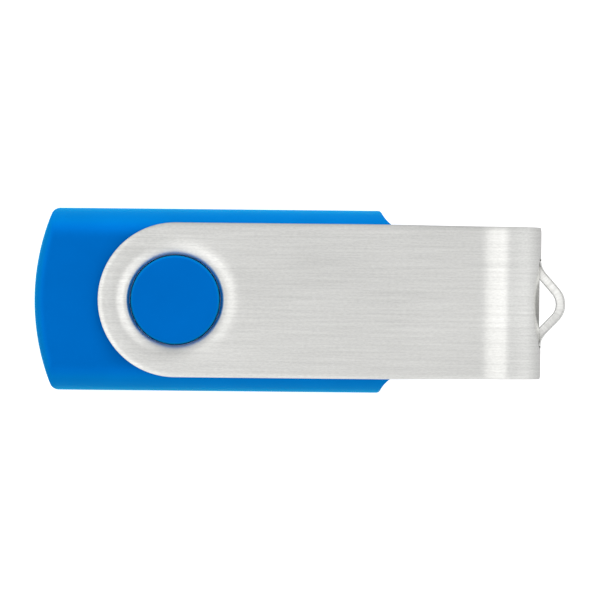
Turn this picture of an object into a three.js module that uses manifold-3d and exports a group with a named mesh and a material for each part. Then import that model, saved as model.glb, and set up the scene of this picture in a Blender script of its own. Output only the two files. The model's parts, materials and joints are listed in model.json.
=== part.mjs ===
// Swivel USB flash drive: a plastic body with a plug, and a sheet-metal clip that turns about a round hub.
// Units are millimetres. Inside this file x = 0 is the pivot axis and z = 0 is the mid-plane of the drive.
// +X runs from the pivot towards the plug and the clip's bend, +Z is the face that looks up.
import * as THREE from 'three';
import { mergeVertices } from 'three/addons/utils/BufferGeometryUtils.js';
import Module from 'manifold-3d';

const wasm = await Module();
wasm.setup();

// Overall sizes
const PIVOT_TO_REAR = 15.02;
const PIVOT_TO_BEND = 39.13;
const PIVOT_TO_LOOP_TIP = 41.75;
const CLIP_HEIGHT = 11.0;

// Swivel clip: it narrows a little between the front of the body and the bend
const CLIP_WIDTH = 16.5;
const BEND_WIDTH = 16.28;
const TAPER_START = 23.5;
const SHEET = 0.8;
const BEND_DEPTH = 6.4;
const BEND_START = PIVOT_TO_BEND - BEND_DEPTH;
const CLIP_TOP = CLIP_HEIGHT / 2;
const ARM_INSIDE = CLIP_TOP - SHEET;
const HOLE_RADIUS = 4.95;
const DISH_OUTER_ROUND = 2.9;
const DISH_SWEEP = Math.PI / 4;
const DISH_RADIUS = HOLE_RADIUS + DISH_OUTER_ROUND * Math.sin(DISH_SWEEP);
const LOOP_HALF_HEIGHT = 1.4;
const LOOP_HALF_SPAN = 4.62;
const LOOP_BEND = THREE.MathUtils.degToRad(42.5);
const LOOP_BASE_ROUND = 2.0;
const LOOP_TIP_ROUND = 2.5;
const SLOT_HALF_SPAN = 4.3;
const SLOT_DEPTH = 3;

// Plastic body
const BODY_HALF_WIDTH = 9.74;
const BODY_FACE = 4.55;
const REAR_ARC = 24.6;
const REAR_CORNER = 1.2;
const SHOULDER_ARC = 3.5;
const SHOULDER_CENTRE_X = 25.06;
const SHOULDER_CENTRE_Y = 11.04;
const FRONT_CORNER = 0.5;
const NOSE_X = 24.63;
const END_ROUND = 1.2;
const NOSE_ROUND = 0.6;
const REAR_SPARE = 0.1;
const SIDE_ROUND_Y = 3.0;
const SIDE_ROUND_Z = 3.5;
const WALL = 1.3;
const HUB_RADIUS = 4.71;
const HUB_TOP = 5.4;
const HUB_CHAMFER = 0.25;
const HUB_CORE = 3.4;
const HUB_SKIN = 1.0;
const GROOVE_RADIUS = 7.15;
const GROOVE_FLOOR = 3.95;
const CAVITY_TOP = BODY_FACE - WALL;
const PLUG_CLEARANCE = 0.1;

// Posts and ribs inside the shells: they run into the roof or the floor by the lap
const POSTS = [
  [-12.4, 5.0],
  [-12.4, -5.0],
  [20.2, 7.2],
  [20.2, -7.2],
];
const POST_RADIUS = 0.95;
const POST_GAP = 0.1;
const PIN_RADIUS = 0.42;
const PIN_LENGTH = 1.2;
const SOCKET_RADIUS = 0.5;
const SOCKET_DEPTH = 1.5;
const RIB_LAP = 0.3;
const BOARD_RIB_INSIDE = 6.3;
const BOARD_RIB_OUTSIDE = 6.9;
const UPPER_BOARD_RIBS = [
  [-10, -6],
  [11, 14],
];
const LOWER_BOARD_RIBS = [[-10.5, 15]];
const PLUG_RIBS = [
  [18.8, 19.6],
  [21.4, 22.2],
];
const PLUG_RIB_HALF_WIDTH = 5;

// Plug
const PLUG_WIDTH = 12.0;
const PLUG_HEIGHT = 4.5;
const PLUG_SHEET = 0.3;
const PLUG_TIP = 36.7;
const PLUG_REAR = 17.9;
const PLUG_CORNER = 0.6;
const WINDOW_X = PLUG_TIP - 6.2;
const WINDOW_LONG = 2.0;
const WINDOW_WIDE = 2.5;
const WINDOW_Y = 3.1;
const TAB_LENGTH = 2.4;
const TAB_TOP = 1.0;
const TONGUE_REAR = 18.3;
const TONGUE_BLOCK_FRONT = 24.2;
const TONGUE_TIP = 36.0;
const TONGUE_LEAD_IN = 0.6;
const TONGUE_SIDE_GAP = 0.3;
const CONTACT_PITCH_OUTER = 3.5;
const CONTACT_PITCH_INNER = 1.0;
const CONTACT_OUTER_TIP = 35.3;
const CONTACT_INNER_TIP = 34.3;
const CONTACT_WIDTH = 1.0;
const CONTACT_TOP = 0.05;
const CONTACT_BOTTOM = -0.2;
const CONTACT_TAIL_REAR = 15.7;
const CONTACT_TAIL_FRONT = 16.8;
const CONTACT_TAIL_THICKNESS = 0.22;

// Circuit board and its pieces
const BOARD_TOP = -0.5;
const BOARD_BOTTOM = -1.5;
const BOARD_REAR = -11.4;
const BOARD_FRONT = 17.6;
const BOARD_HALF_WIDTH = 7.0;
const BOARD_CORNER = 0.8;
const STAND_OFF = 0.1;
const LEAD_PITCH = 0.5;
const LEAD_WIDTH = 0.22;
const LEAD_THICKNESS = 0.14;
const CONTROLLER = { x: 9, half: 3.5, reach: 4.5, cut: 0.6, top: 1.5, leads: 12, rootZ: 0.7 };
const FLASH = { x: 2, halfX: 9.2, halfY: 6, reach: 10, top: 1.1, leads: 24, rootZ: 0.5 };
const CRYSTAL = { x: -1.4, y: 3.3, long: 11, wide: 4.7, flange: 0.5, top: 3.2, step: 0.4 };
const LED = { x: -10.2, halfLong: 1, halfWide: 0.62, base: 0.35, halfLens: 0.6, top: 0.8 };
const CHIP_PART = { long: 1.6, wide: 0.8, capacitorTall: 0.8, resistorTall: 0.45, cap: 0.32 };

const ROUND_STEPS = 56;

// ---- geometry helpers ----

function solidOf(geometry) {
  const bare = geometry.index ? geometry.toNonIndexed() : geometry.clone();
  bare.deleteAttribute('normal');
  bare.deleteAttribute('uv');
  const merged = mergeVertices(bare, 1e-4);
  const kept = [];
  const index = merged.index.array;
  for (let i = 0; i < index.length; i += 3) {
    const [a, b, c] = [index[i], index[i + 1], index[i + 2]];
    if (a !== b && b !== c && c !== a) {
      kept.push(a, b, c);
    }
  }
  const mesh = new wasm.Mesh({
    numProp: 3,
    vertProperties: new Float32Array(merged.attributes.position.array),
    triVerts: new Uint32Array(kept),
  });
  return new wasm.Manifold(mesh);
}

function geometryOf(solid) {
  const mesh = solid.getMesh();
  const geometry = new THREE.BufferGeometry();
  geometry.setAttribute('position', new THREE.BufferAttribute(new Float32Array(mesh.vertProperties), 3));
  geometry.setIndex(new THREE.BufferAttribute(new Uint32Array(mesh.triVerts), 1));
  geometry.computeVertexNormals();
  return geometry;
}

function box(x0, x1, y0, y1, z0, z1) {
  const geometry = new THREE.BoxGeometry(x1 - x0, y1 - y0, z1 - z0);
  geometry.translate((x0 + x1) / 2, (y0 + y1) / 2, (z0 + z1) / 2);
  return solidOf(geometry);
}

function cylinder(x, y, radius, z0, z1, steps = 24) {
  const geometry = new THREE.CylinderGeometry(radius, radius, z1 - z0, steps);
  geometry.rotateX(Math.PI / 2);
  geometry.translate(x, y, (z0 + z1) / 2);
  return solidOf(geometry);
}

// A closed outline in x and y, extruded from z0 to z1
function extrudeUp(shape, z0, z1, curveSegments = 12) {
  const geometry = new THREE.ExtrudeGeometry(shape, { depth: z1 - z0, bevelEnabled: false, curveSegments });
  geometry.translate(0, 0, z0);
  return solidOf(geometry);
}

// A closed outline in x and z, extruded from y0 to y1
function extrudeAcross(shape, y0, y1, curveSegments = 12) {
  const geometry = new THREE.ExtrudeGeometry(shape, { depth: y1 - y0, bevelEnabled: false, curveSegments });
  geometry.rotateX(Math.PI / 2);
  geometry.translate(0, y1, 0);
  return solidOf(geometry);
}

// A closed outline in y and z, extruded from x0 to x1
function extrudeAlong(shape, x0, x1, curveSegments = 12) {
  const geometry = new THREE.ExtrudeGeometry(shape, { depth: x1 - x0, bevelEnabled: false, curveSegments });
  const turn = new THREE.Matrix4().makeBasis(
    new THREE.Vector3(0, 1, 0),
    new THREE.Vector3(0, 0, 1),
    new THREE.Vector3(1, 0, 0),
  );
  geometry.applyMatrix4(turn);
  geometry.translate(x0, 0, 0);
  return solidOf(geometry);
}

// A profile of [radius, height] pairs turned about the pivot axis
function revolve(profile, steps = ROUND_STEPS) {
  const points = profile.map(([radius, height]) => new THREE.Vector2(radius, height));
  const geometry = new THREE.LatheGeometry(points, steps);
  geometry.rotateX(Math.PI / 2);
  return solidOf(geometry);
}

function shapeOf(points) {
  return new THREE.Shape(points.map(([x, y]) => new THREE.Vector2(x, y)));
}

function arcPoints(cx, cy, radius, from, to, steps) {
  const points = [];
  for (let i = 0; i <= steps; i += 1) {
    const angle = from + ((to - from) * i) / steps;
    points.push([cx + radius * Math.cos(angle), cy + radius * Math.sin(angle)]);
  }
  return points;
}

function mirrorY(points) {
  return points.map(([x, y]) => [x, -y]).reverse();
}

function roundedRectangle(halfX, halfY, roundX, roundY) {
  const shape = new THREE.Shape();
  const [x, y] = [halfX - roundX, halfY - roundY];
  shape.moveTo(halfX, -y);
  shape.absellipse(x, y, roundX, roundY, 0, Math.PI / 2);
  shape.absellipse(-x, y, roundX, roundY, Math.PI / 2, Math.PI);
  shape.absellipse(-x, -y, roundX, roundY, Math.PI, 1.5 * Math.PI);
  shape.absellipse(x, -y, roundX, roundY, 1.5 * Math.PI, 2 * Math.PI);
  return shape;
}

function unionOf(solids) {
  return solids.reduce((sum, solid) => sum.add(solid));
}

// ---- swivel clip ----

function ellipseArc(depth, halfHeight, fromTop, steps) {
  const points = [];
  for (let i = 0; i <= steps; i += 1) {
    const angle = (fromTop ? 1 : -1) * (Math.PI / 2 - (Math.PI * i) / steps);
    points.push([BEND_START + depth * Math.cos(angle), halfHeight * Math.sin(angle)]);
  }
  return points;
}

function clipSideProfile() {
  const rear = -CLIP_WIDTH;
  const outside = ellipseArc(BEND_DEPTH, CLIP_TOP, false, 24);
  const inside = ellipseArc(BEND_DEPTH - SHEET, ARM_INSIDE, true, 24);
  return shapeOf([
    [rear, -CLIP_TOP],
    ...outside,
    [rear, CLIP_TOP],
    [rear, ARM_INSIDE],
    ...inside,
    [rear, -ARM_INSIDE],
  ]);
}

function clipPlan() {
  const half = CLIP_WIDTH / 2;
  const bendHalf = BEND_WIDTH / 2;
  const end = PIVOT_TO_BEND + 1;
  return shapeOf([
    [TAPER_START, -half],
    [BEND_START, -bendHalf],
    [end, -bendHalf],
    [end, bendHalf],
    [BEND_START, bendHalf],
    [TAPER_START, half],
    ...arcPoints(0, 0, half, Math.PI / 2, 1.5 * Math.PI, 32),
  ]);
}

function dishRing() {
  const lap = 0.3;
  const inner = DISH_OUTER_ROUND - SHEET;
  const centre = CLIP_TOP - DISH_OUTER_ROUND;
  const from = Math.PI / 2;
  const to = from + DISH_SWEEP;
  const below = arcPoints(DISH_RADIUS, centre, inner, to, from, 3);
  const above = arcPoints(DISH_RADIUS, centre, DISH_OUTER_ROUND, from, to, 4);
  const outline = [...below, [DISH_RADIUS + lap, ARM_INSIDE], [DISH_RADIUS + lap, CLIP_TOP], ...above];
  return revolve([...outline, outline[0]]);
}

// The half of the strap's outside or inside line with y > 0, from its foot in the bend to its tip
function strapLine(offset) {
  const baseRound = LOOP_BASE_ROUND + offset;
  const tipRound = LOOP_TIP_ROUND - offset;
  const baseX = PIVOT_TO_BEND + LOOP_BASE_ROUND;
  const tipX = PIVOT_TO_LOOP_TIP - LOOP_TIP_ROUND;
  const base = arcPoints(baseX, LOOP_HALF_SPAN, baseRound, Math.PI, Math.PI + LOOP_BEND, 5);
  const tip = arcPoints(tipX, 0, tipRound, LOOP_BEND, 0, 6);
  return [...base, ...tip];
}

function lanyardStrap() {
  const outside = strapLine(0);
  const inside = strapLine(SHEET);
  const outer = [...outside, ...mirrorY(outside).slice(1)];
  const inner = [...inside, ...mirrorY(inside).slice(1)];
  return extrudeUp(shapeOf([...outer, ...inner.reverse()]), -LOOP_HALF_HEIGHT, LOOP_HALF_HEIGHT);
}

function swivelClip() {
  const half = CLIP_WIDTH / 2;
  const sheet = extrudeAcross(clipSideProfile(), -half, half);
  const trimmed = sheet.intersect(extrudeUp(clipPlan(), -CLIP_HEIGHT, CLIP_HEIGHT));
  const holed = trimmed.subtract(cylinder(0, 0, DISH_RADIUS, -CLIP_HEIGHT, CLIP_HEIGHT, ROUND_STEPS));
  const dish = dishRing();
  const slot = box(
    PIVOT_TO_BEND - SLOT_DEPTH,
    PIVOT_TO_BEND + 1,
    -SLOT_HALF_SPAN,
    SLOT_HALF_SPAN,
    -LOOP_HALF_HEIGHT,
    LOOP_HALF_HEIGHT,
  );
  return unionOf([holed.subtract(slot), dish, dish.mirror([0, 0, 1]), lanyardStrap()]);
}

// ---- body shells ----

function bodyPlan() {
  const half = BODY_HALF_WIDTH;
  const rearCentre = REAR_ARC - PIVOT_TO_REAR;

  const frontRoundY = half - FRONT_CORNER;
  const frontReach = SHOULDER_ARC + FRONT_CORNER;
  const frontRoundX = SHOULDER_CENTRE_X - Math.sqrt(frontReach ** 2 - (SHOULDER_CENTRE_Y - frontRoundY) ** 2);
  const frontTurn = Math.atan2(SHOULDER_CENTRE_Y - frontRoundY, SHOULDER_CENTRE_X - frontRoundX);
  const shoulderEnd = Math.acos((NOSE_X - SHOULDER_CENTRE_X) / SHOULDER_ARC);
  const shoulder = arcPoints(
    SHOULDER_CENTRE_X,
    SHOULDER_CENTRE_Y,
    SHOULDER_ARC,
    -shoulderEnd,
    frontTurn - Math.PI,
    8,
  );
  const front = arcPoints(frontRoundX, frontRoundY, FRONT_CORNER, frontTurn, Math.PI / 2, 4);

  const rearRoundY = half - REAR_CORNER;
  const rearRadius = REAR_ARC + REAR_SPARE;
  const rearReach = rearRadius - REAR_CORNER;
  const rearRoundX = rearCentre - Math.sqrt(rearReach ** 2 - rearRoundY ** 2);
  const rearTurn = Math.PI - Math.asin(rearRoundY / rearReach);
  const rearRound = arcPoints(rearRoundX, rearRoundY, REAR_CORNER, Math.PI / 2, rearTurn, 6);
  const rear = arcPoints(rearCentre, 0, rearRadius, rearTurn, Math.PI, 7);

  const side = [...shoulder, ...front.slice(1), ...rearRound, ...rear.slice(1)];
  return shapeOf([...side, ...mirrorY(side).slice(1)]);
}

function cavityPlan() {
  const half = BODY_HALF_WIDTH - WALL;
  const rearRadius = REAR_ARC - WALL;
  const rearCentre = REAR_ARC - PIVOT_TO_REAR;
  const shoulder = SHOULDER_ARC + WALL;
  const nose = NOSE_X - WALL;
  const noseAngle = Math.acos((nose - SHOULDER_CENTRE_X) / shoulder);
  const sideAngle = Math.PI - Math.asin((SHOULDER_CENTRE_Y - half) / shoulder);
  const rearAngle = Math.PI - Math.asin(half / rearRadius);
  const front = arcPoints(SHOULDER_CENTRE_X, SHOULDER_CENTRE_Y, shoulder, -noseAngle, -sideAngle, 5);
  const rear = arcPoints(rearCentre, 0, rearRadius, rearAngle, Math.PI, 6);
  const side = [...front, ...rear];
  return shapeOf([...side, ...mirrorY(side).slice(1)]);
}

// The plan's own height, rounded where the curved rear end and the nose meet the top and bottom faces
function roundedBody() {
  const block = extrudeUp(bodyPlan(), -BODY_FACE, BODY_FACE);

  const rearRound = (height) => {
    const side = Math.sign(height);
    const edge = arcPoints(REAR_ARC - END_ROUND, BODY_FACE - END_ROUND, END_ROUND, 0, Math.PI / 2, 5);
    const rounded = edge.map(([radius, z]) => [radius, side * z]);
    return side > 0 ? rounded : rounded.reverse();
  };
  const disc = revolve(
    [[0, -BODY_FACE], ...rearRound(-1), ...rearRound(1), [0, BODY_FACE]],
    80,
  ).translate([REAR_ARC - PIVOT_TO_REAR, 0, 0]);

  const noseEdge = arcPoints(NOSE_X - NOSE_ROUND, BODY_FACE - NOSE_ROUND, NOSE_ROUND, 0, Math.PI / 2, 4);
  const noseBelow = noseEdge.map(([x, z]) => [x, -z]).reverse();
  const rear = -2 * PIVOT_TO_REAR;
  const side = shapeOf([[rear, -BODY_FACE], ...noseBelow, ...noseEdge, [rear, BODY_FACE]]);
  const nose = extrudeAcross(side, -2 * BODY_HALF_WIDTH, 2 * BODY_HALF_WIDTH);
  return block.intersect(disc).intersect(nose);
}

function hub() {
  return revolve([
    [0, CAVITY_TOP],
    [HUB_RADIUS, CAVITY_TOP],
    [HUB_RADIUS, HUB_TOP - HUB_CHAMFER],
    [HUB_RADIUS - HUB_CHAMFER, HUB_TOP],
    [0, HUB_TOP],
  ]);
}

function bodySolid() {
  const crossSection = roundedRectangle(BODY_HALF_WIDTH, BODY_FACE, SIDE_ROUND_Y, SIDE_ROUND_Z);
  const innerSection = roundedRectangle(
    BODY_HALF_WIDTH - WALL,
    CAVITY_TOP,
    SIDE_ROUND_Y - WALL,
    SIDE_ROUND_Z - WALL,
  );
  const long = PIVOT_TO_BEND;
  const outer = roundedBody().intersect(extrudeAlong(crossSection, -long, long, 6));
  const cavity = extrudeUp(cavityPlan(), -CAVITY_TOP, CAVITY_TOP).intersect(
    extrudeAlong(innerSection, -long, long, 4),
  );
  const hubUp = hub();
  const groove = cylinder(0, 0, GROOVE_RADIUS, GROOVE_FLOOR, CLIP_HEIGHT, ROUND_STEPS);
  const opening = box(
    NOSE_X - 2 * WALL,
    NOSE_X + WALL,
    -PLUG_WIDTH / 2 - PLUG_CLEARANCE,
    PLUG_WIDTH / 2 + PLUG_CLEARANCE,
    -PLUG_HEIGHT / 2 - PLUG_CLEARANCE,
    PLUG_HEIGHT / 2 + PLUG_CLEARANCE,
  );
  return outer
    .subtract(groove)
    .subtract(groove.mirror([0, 0, 1]))
    .add(hubUp)
    .add(hubUp.mirror([0, 0, 1]))
    .subtract(cavity)
    .subtract(cylinder(0, 0, HUB_CORE, HUB_SKIN - HUB_TOP, HUB_TOP - HUB_SKIN, 32))
    .subtract(opening);
}

// Ribs beside the board and across the plug, from one height to another
function ribs(boardRibs, boardEdge, plugEdge, face) {
  const solids = [];
  for (const [x0, x1] of boardRibs) {
    for (const [y0, y1] of [
      [BOARD_RIB_INSIDE, BOARD_RIB_OUTSIDE],
      [-BOARD_RIB_OUTSIDE, -BOARD_RIB_INSIDE],
    ]) {
      solids.push(box(x0, x1, y0, y1, Math.min(boardEdge, face), Math.max(boardEdge, face)));
    }
  }
  for (const [x0, x1] of PLUG_RIBS) {
    const [z0, z1] = [Math.min(plugEdge, face), Math.max(plugEdge, face)];
    solids.push(box(x0, x1, -PLUG_RIB_HALF_WIDTH, PLUG_RIB_HALF_WIDTH, z0, z1));
  }
  return solids;
}

function upperShell(body) {
  const half = body.intersect(box(-PIVOT_TO_BEND, PIVOT_TO_BEND, -CLIP_WIDTH, CLIP_WIDTH, 0, CLIP_HEIGHT));
  const roof = CAVITY_TOP + RIB_LAP;
  const posts = POSTS.map(([x, y]) => cylinder(x, y, POST_RADIUS, POST_GAP, roof, 16));
  const pins = POSTS.map(([x, y]) => cylinder(x, y, PIN_RADIUS, -PIN_LENGTH, PIN_LENGTH, 12));
  return unionOf([half, ...posts, ...pins, ...ribs(UPPER_BOARD_RIBS, BOARD_TOP, PLUG_HEIGHT / 2, roof)]);
}

function lowerShell(body) {
  const half = body.intersect(box(-PIVOT_TO_BEND, PIVOT_TO_BEND, -CLIP_WIDTH, CLIP_WIDTH, -CLIP_HEIGHT, 0));
  const floor = -CAVITY_TOP - RIB_LAP;
  const posts = POSTS.map(([x, y]) => cylinder(x, y, POST_RADIUS, floor, -POST_GAP, 16));
  const sockets = POSTS.map(([x, y]) => cylinder(x, y, SOCKET_RADIUS, -SOCKET_DEPTH, SOCKET_DEPTH, 12));
  const inside = ribs(LOWER_BOARD_RIBS, BOARD_BOTTOM, -PLUG_HEIGHT / 2, floor);
  return unionOf([half, ...posts, ...inside]).subtract(unionOf(sockets));
}

// ---- plug ----

function plugShell() {
  const halfY = PLUG_WIDTH / 2;
  const halfZ = PLUG_HEIGHT / 2;
  const outer = roundedRectangle(halfY, halfZ, PLUG_CORNER, PLUG_CORNER);
  const round = PLUG_CORNER - PLUG_SHEET;
  const inner = roundedRectangle(halfY - PLUG_SHEET, halfZ - PLUG_SHEET, round, round);
  const tube = extrudeAlong(outer, PLUG_REAR, PLUG_TIP, 5).subtract(
    extrudeAlong(inner, PLUG_REAR - 1, PLUG_TIP + 1, 4),
  );
  const tabs = [];
  for (const side of [-1, 1]) {
    const edges = [side * halfY, side * (halfY - PLUG_SHEET)];
    const [y0, y1] = [Math.min(...edges), Math.max(...edges)];
    tabs.push(box(PLUG_REAR - TAB_LENGTH, PLUG_REAR + PLUG_SHEET, y0, y1, BOARD_TOP, TAB_TOP));
  }
  const windows = [];
  for (const side of [-1, 1]) {
    const y = side * WINDOW_Y;
    windows.push(
      box(
        WINDOW_X - WINDOW_LONG / 2,
        WINDOW_X + WINDOW_LONG / 2,
        y - WINDOW_WIDE / 2,
        y + WINDOW_WIDE / 2,
        -PLUG_HEIGHT,
        PLUG_HEIGHT,
      ),
    );
  }
  return unionOf([tube, ...tabs]).subtract(unionOf(windows));
}

const CONTACT_LINES = [
  ['contact_vbus', CONTACT_PITCH_OUTER, CONTACT_OUTER_TIP],
  ['contact_data_minus', CONTACT_PITCH_INNER, CONTACT_INNER_TIP],
  ['contact_data_plus', -CONTACT_PITCH_INNER, CONTACT_INNER_TIP],
  ['contact_ground', -CONTACT_PITCH_OUTER, CONTACT_OUTER_TIP],
];

// A strip that lies in the tongue's groove and steps down behind it to a tail on the board
function contactStrip(y, tip) {
  const tailTop = BOARD_TOP + CONTACT_TAIL_THICKNESS;
  const step = 0.1;
  const profile = shapeOf([
    [tip, CONTACT_BOTTOM],
    [tip, CONTACT_TOP],
    [CONTACT_TAIL_FRONT + 7 * step, CONTACT_TOP],
    [CONTACT_TAIL_FRONT, tailTop],
    [CONTACT_TAIL_REAR, tailTop],
    [CONTACT_TAIL_REAR, BOARD_TOP],
    [CONTACT_TAIL_FRONT + step, BOARD_TOP],
    [CONTACT_TAIL_FRONT + 8 * step, CONTACT_BOTTOM],
  ]);
  return extrudeAcross(profile, y - CONTACT_WIDTH / 2, y + CONTACT_WIDTH / 2);
}

function plugTongue() {
  const halfY = PLUG_WIDTH / 2 - PLUG_SHEET - TONGUE_SIDE_GAP;
  const inside = PLUG_HEIGHT / 2 - PLUG_SHEET;
  const tongue = shapeOf([
    [TONGUE_REAR, -inside],
    [TONGUE_TIP, -inside],
    [TONGUE_TIP, -TONGUE_LEAD_IN],
    [TONGUE_TIP - TONGUE_LEAD_IN, 0],
    [TONGUE_BLOCK_FRONT, 0],
    [TONGUE_BLOCK_FRONT, inside],
    [TONGUE_REAR, inside],
  ]);
  const solid = extrudeAcross(tongue, -halfY, halfY);
  const grooves = CONTACT_LINES.map(([, y, tip]) =>
    box(PLUG_REAR - 1, tip, y - CONTACT_WIDTH / 2, y + CONTACT_WIDTH / 2, CONTACT_BOTTOM, CONTACT_TOP),
  );
  return solid.subtract(unionOf(grooves));
}

// ---- circuit board and the pieces on it ----

function circuitBoard() {
  const halfX = (BOARD_FRONT - BOARD_REAR) / 2;
  const middle = (BOARD_FRONT + BOARD_REAR) / 2;
  const outline = roundedRectangle(halfX, BOARD_HALF_WIDTH, BOARD_CORNER, BOARD_CORNER);
  return extrudeUp(outline, BOARD_BOTTOM, BOARD_TOP, 4).translate([middle, 0, 0]);
}

// One row of leads that leave a package at rootX and rootZ and have their feet on z = 0, as far out as reach
function leadRow(count, rootX, reach, rootZ) {
  const lap = 0.3;
  const shoulder = rootX + 0.35 * (reach - rootX);
  const ankle = rootX + 0.65 * (reach - rootX);
  const profile = shapeOf([
    [rootX - lap, rootZ],
    [shoulder - LEAD_THICKNESS, rootZ],
    [ankle - LEAD_THICKNESS / 2, 0],
    [reach, 0],
    [reach, LEAD_THICKNESS],
    [ankle + LEAD_THICKNESS / 2, LEAD_THICKNESS],
    [shoulder, rootZ + LEAD_THICKNESS],
    [rootX - lap, rootZ + LEAD_THICKNESS],
  ]);
  const leads = [];
  for (let i = 0; i < count; i += 1) {
    const y = (i - (count - 1) / 2) * LEAD_PITCH;
    leads.push(extrudeAcross(profile, y - LEAD_WIDTH / 2, y + LEAD_WIDTH / 2));
  }
  return unionOf(leads);
}

function controllerChip() {
  const { x, half, reach, cut, top, leads, rootZ } = CONTROLLER;
  const plan = shapeOf([
    [-half, -half],
    [half, -half],
    [half, half - cut],
    [half - cut, half],
    [-half, half],
  ]);
  const row = leadRow(leads, half, reach, rootZ);
  const rows = [0, 90, 180, 270].map((angle) => row.rotate([0, 0, angle]));
  return unionOf([extrudeUp(plan, STAND_OFF, top), ...rows]).translate([x, 0, BOARD_TOP]);
}

function flashChip() {
  const { x, halfX, halfY, reach, top, leads, rootZ } = FLASH;
  const housing = box(-halfX, halfX, -halfY, halfY, STAND_OFF, top);
  const row = leadRow(leads, halfX, reach, rootZ);
  const chip = unionOf([housing, row, row.rotate([0, 0, 180])]);
  return chip.rotate([180, 0, 0]).translate([x, 0, BOARD_BOTTOM]);
}

function stadium(length, width) {
  return roundedRectangle(length / 2, width / 2, width / 2 - 0.01, width / 2 - 0.01);
}

function crystalCan() {
  const { x, y, long, wide, flange, top, step } = CRYSTAL;
  const rim = extrudeUp(stadium(long, wide), 0, flange, 6);
  const can = extrudeUp(stadium(long - 2 * step, wide - 2 * step), flange / 2, top, 6);
  return rim.add(can).translate([x, y, BOARD_TOP]);
}

// A two-ended chip part: a body between two slightly larger end caps
function smallPart(x, y, tall, alongY) {
  const { long, wide, cap } = CHIP_PART;
  const ease = 0.03;
  const [halfX, halfY] = [long / 2, wide / 2];
  const body = box(ease - halfX, halfX - ease, ease - halfY, halfY - ease, ease, tall - ease);
  const first = box(-halfX, cap - halfX, -halfY, halfY, 0, tall);
  const last = box(halfX - cap, halfX, -halfY, halfY, 0, tall);
  return unionOf([body, first, last]).rotate([0, 0, alongY ? 90 : 0]).translate([x, y, BOARD_TOP]);
}

function activityLed() {
  const { x, halfLong, halfWide, base, halfLens, top } = LED;
  const foot = box(-halfLong, halfLong, -halfWide, halfWide, 0, base);
  const lens = box(-halfLens, halfLens, -halfLens, halfLens, base / 2, top);
  return foot.add(lens).rotate([0, 0, 90]).translate([x, 0, BOARD_TOP]);
}

const CAPACITORS = [
  [14.5, 4.2, true],
  [14.5, -4.2, true],
  [9.0, 5.6, false],
  [2.8, -4.6, false],
  [-0.6, -4.6, false],
  [-4.0, -4.6, false],
];
const RESISTORS = [
  [14.5, 1.3, true],
  [14.5, -1.3, true],
  [9.0, -5.6, false],
  [-8.2, -2.6, true],
  [-8.2, 2.6, true],
];

// ---- assembly ----

const drive = new THREE.Group();
drive.position.set((PIVOT_TO_REAR - PIVOT_TO_LOOP_TIP) / 2, 0, CLIP_TOP);

function addPiece(name, solid, color, roughness, metalness) {
  const material = new THREE.MeshStandardMaterial({ color, roughness, metalness });
  const mesh = new THREE.Mesh(geometryOf(solid), material);
  mesh.name = name;
  drive.add(mesh);
}

const body = bodySolid();
addPiece('swivel_clip', swivelClip(), 0xc8cac9, 0.35, 1);
addPiece('upper_shell', upperShell(body), 0x006cc4, 0.55, 0);
addPiece('lower_shell', lowerShell(body), 0x006cc4, 0.55, 0);
addPiece('usb_plug_shell', plugShell(), 0xc4c6c8, 0.3, 1);
addPiece('plug_tongue', plugTongue(), 0x1b1d20, 0.6, 0);
for (const [name, y, tip] of CONTACT_LINES) {
  addPiece(name, contactStrip(y, tip), 0xd9ae4c, 0.25, 1);
}
addPiece('circuit_board', circuitBoard(), 0x1d6b3a, 0.45, 0);
addPiece('controller_chip', controllerChip(), 0x1c1d1f, 0.6, 0);
addPiece('flash_chip', flashChip(), 0x1c1d1f, 0.6, 0);
addPiece('crystal_can', crystalCan(), 0xbfc2c4, 0.3, 1);
addPiece('activity_led', activityLed(), 0xe9e6d2, 0.3, 0);
CAPACITORS.forEach(([x, y, alongY], i) => {
  addPiece(`capacitor_${i + 1}`, smallPart(x, y, CHIP_PART.capacitorTall, alongY), 0xa08660, 0.5, 0);
});
RESISTORS.forEach(([x, y, alongY], i) => {
  addPiece(`resistor_${i + 1}`, smallPart(x, y, CHIP_PART.resistorTall, alongY), 0x202226, 0.5, 0);
});

export default drive;
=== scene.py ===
"""Looks of a swivel USB flash drive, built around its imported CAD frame.

Lengths below are in millimetres from the pivot axis and the drive's mid-plane, as in the CAD source:
x runs from the pivot towards the plug, y across, z up out of the clip's upper face.
place() turns them into metres in the frame's own axes.
"""
import json
import math

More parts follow.
